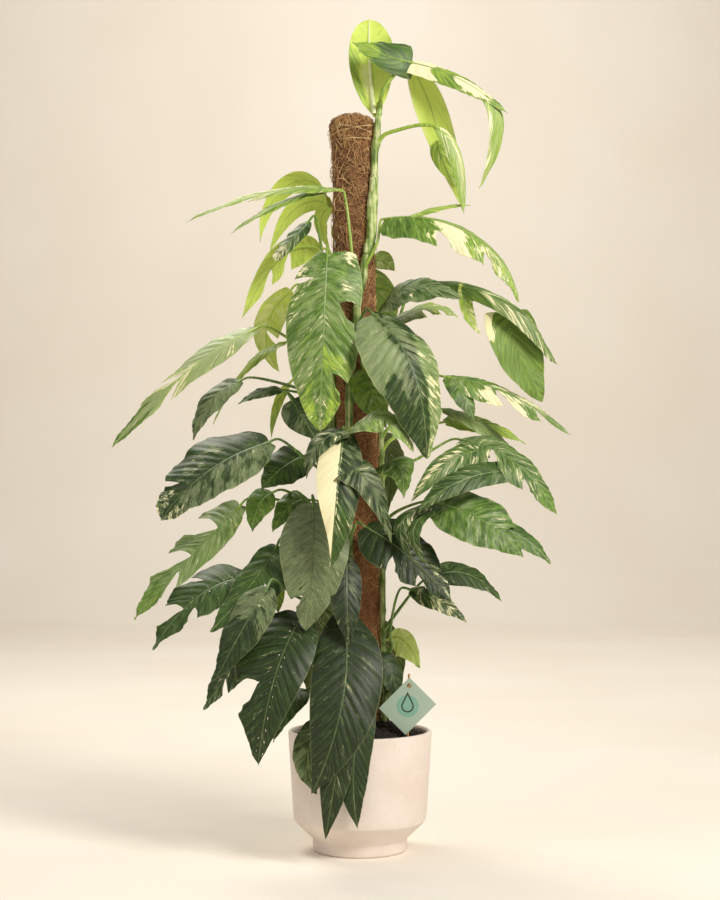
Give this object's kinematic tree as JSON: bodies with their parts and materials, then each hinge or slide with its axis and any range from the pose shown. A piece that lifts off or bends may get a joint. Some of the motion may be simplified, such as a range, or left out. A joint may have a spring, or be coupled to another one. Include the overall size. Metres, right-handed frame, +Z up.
{
  "type": "potted albo epipremnum pinnatum",
  "caption": "Variegated split-leaf climbing aroid on a coir pole, dark green, marbled and cream leaves, in a pale footed ceramic pot with a small plain label on a stick",
  "frame": {"origin": "middle of the pot's flat base, on the surface it stands on", "axes": "+Z up along the pot, -Y to the side the picture was taken from, +X to that viewer's right"},
  "size_m": [0.6663, 0.3324, 1.2205],
  "materials": {
    "pot": "matte",
    "soil": "matte",
    "coir": "matte",
    "wood": "matte",
    "twine": "matte",
    "vine": "satin",
    "vine_leafy": "satin",
    "leaf_young": "satin",
    "leaf_mature": "satin",
    "leaf_marbled": "satin",
    "leaf_cream": "satin",
    "card": "matte",
    "brass": "satin"
  },
  "bodies": {
    "root": {"pot": "pot", "soil": "soil", "coir_sleeve": "coir", "pole_stake": "wood", "pole_twine": "twine", "label_stick": "wood", "label_card": "card", "label_eyelet": "brass", "vine_main": "vine", "vine_right": "vine", "vine_left": "vine", "vine_back": "vine_leafy", "leaf_top_spear": "leaf_young", "leaf_top_arching": "leaf_cream", "leaf_upper_right_1": "leaf_marbled", "leaf_upper_right_2": "leaf_cream", "leaf_upper_left_1": "leaf_marbled", "leaf_upper_left_lime_1": "leaf_young", "leaf_upper_left_dark": "leaf_mature", "leaf_upper_left_lime_2": "leaf_young", "leaf_upper_left_lime_3": "leaf_young", "leaf_front_tall": "leaf_marbled", "leaf_front_silver": "leaf_marbled", "leaf_right_dark_1": "leaf_mature", "leaf_right_pale_1": "leaf_marbled", "leaf_right_long": "leaf_marbled", "leaf_right_cream": "leaf_cream", "leaf_right_dark_2": "leaf_mature", "leaf_right_small": "leaf_mature", "leaf_right_marbled": "leaf_marbled", "leaf_right_broad": "leaf_mature", "leaf_front_right_dark": "leaf_mature", "leaf_low_right_striped": "leaf_marbled", "leaf_low_right_dark": "leaf_mature", "leaf_low_right_pale": "leaf_young", "leaf_low_right_folded": "leaf_mature", "leaf_front_cream": "leaf_cream", "leaf_front_streaked": "leaf_marbled", "leaf_front_grey": "leaf_mature", "leaf_front_narrow": "leaf_mature", "leaf_front_middle": "leaf_mature", "leaf_inner_dark": "leaf_mature", "leaf_front_low_big": "leaf_mature", "leaf_low_hanging_left": "leaf_mature", "leaf_low_hanging_right": "leaf_mature", "leaf_low_round": "leaf_mature", "leaf_low_left_big": "leaf_mature", "leaf_low_left_striped": "leaf_marbled", "leaf_low_left_grey": "leaf_mature", "leaf_low_left_dark": "leaf_mature", "leaf_left_ribbed": "leaf_mature", "leaf_left_lobed": "leaf_marbled", "leaf_left_marbled": "leaf_marbled", "leaf_left_round": "leaf_mature", "leaf_left_inner": "leaf_mature", "leaf_left_long": "leaf_marbled", "leaf_left_grey": "leaf_mature", "leaf_left_narrow": "leaf_mature", "leaf_left_shaded": "leaf_mature"}
  },
  "joints": []
}
